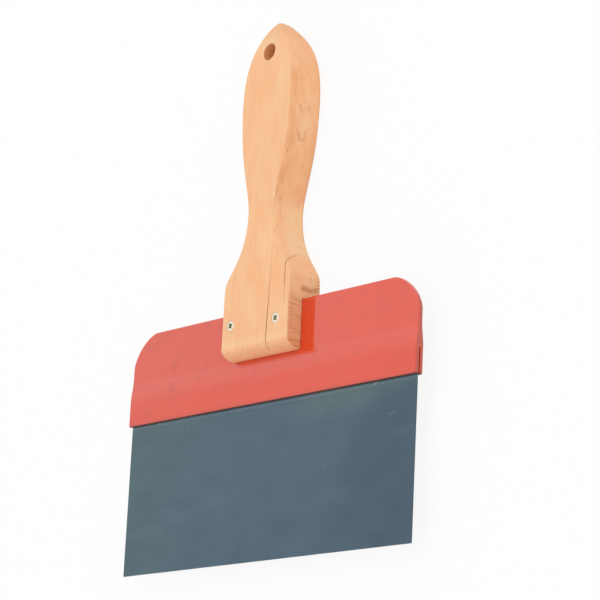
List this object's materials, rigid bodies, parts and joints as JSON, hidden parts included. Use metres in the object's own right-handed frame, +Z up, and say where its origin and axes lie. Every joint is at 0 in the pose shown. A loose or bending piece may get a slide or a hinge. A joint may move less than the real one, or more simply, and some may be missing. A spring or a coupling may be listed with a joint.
{
  "type": "flexible putty knife",
  "caption": "Wide flexible putty knife: blued steel blade gripped in a red moulded holder, whose tongue is screwed into the slot of a shaped wooden handle with a hanging hole.",
  "frame": {"origin": "middle of the knife's footprint, on the surface that the back of the handle lies on", "axes": "+X across the blade, +Y from the working edge to the tip of the handle, +Z up out of the face with the screw heads"},
  "size_m": [0.2518, 0.317, 0.023],
  "materials": {
    "beech": "sanded, unvarnished pale wood with fine grain flecks",
    "red_plastic": "glossy moulded plastic",
    "blued_steel": "blue-grey tempered spring steel, faintly mottled",
    "zinc_plate": "bright zinc plating"
  },
  "bodies": {
    "root": {"handle": "beech", "holder": "red_plastic", "blade": "blued_steel", "screw_left": "zinc_plate", "screw_right": "zinc_plate"}
  },
  "joints": []
}
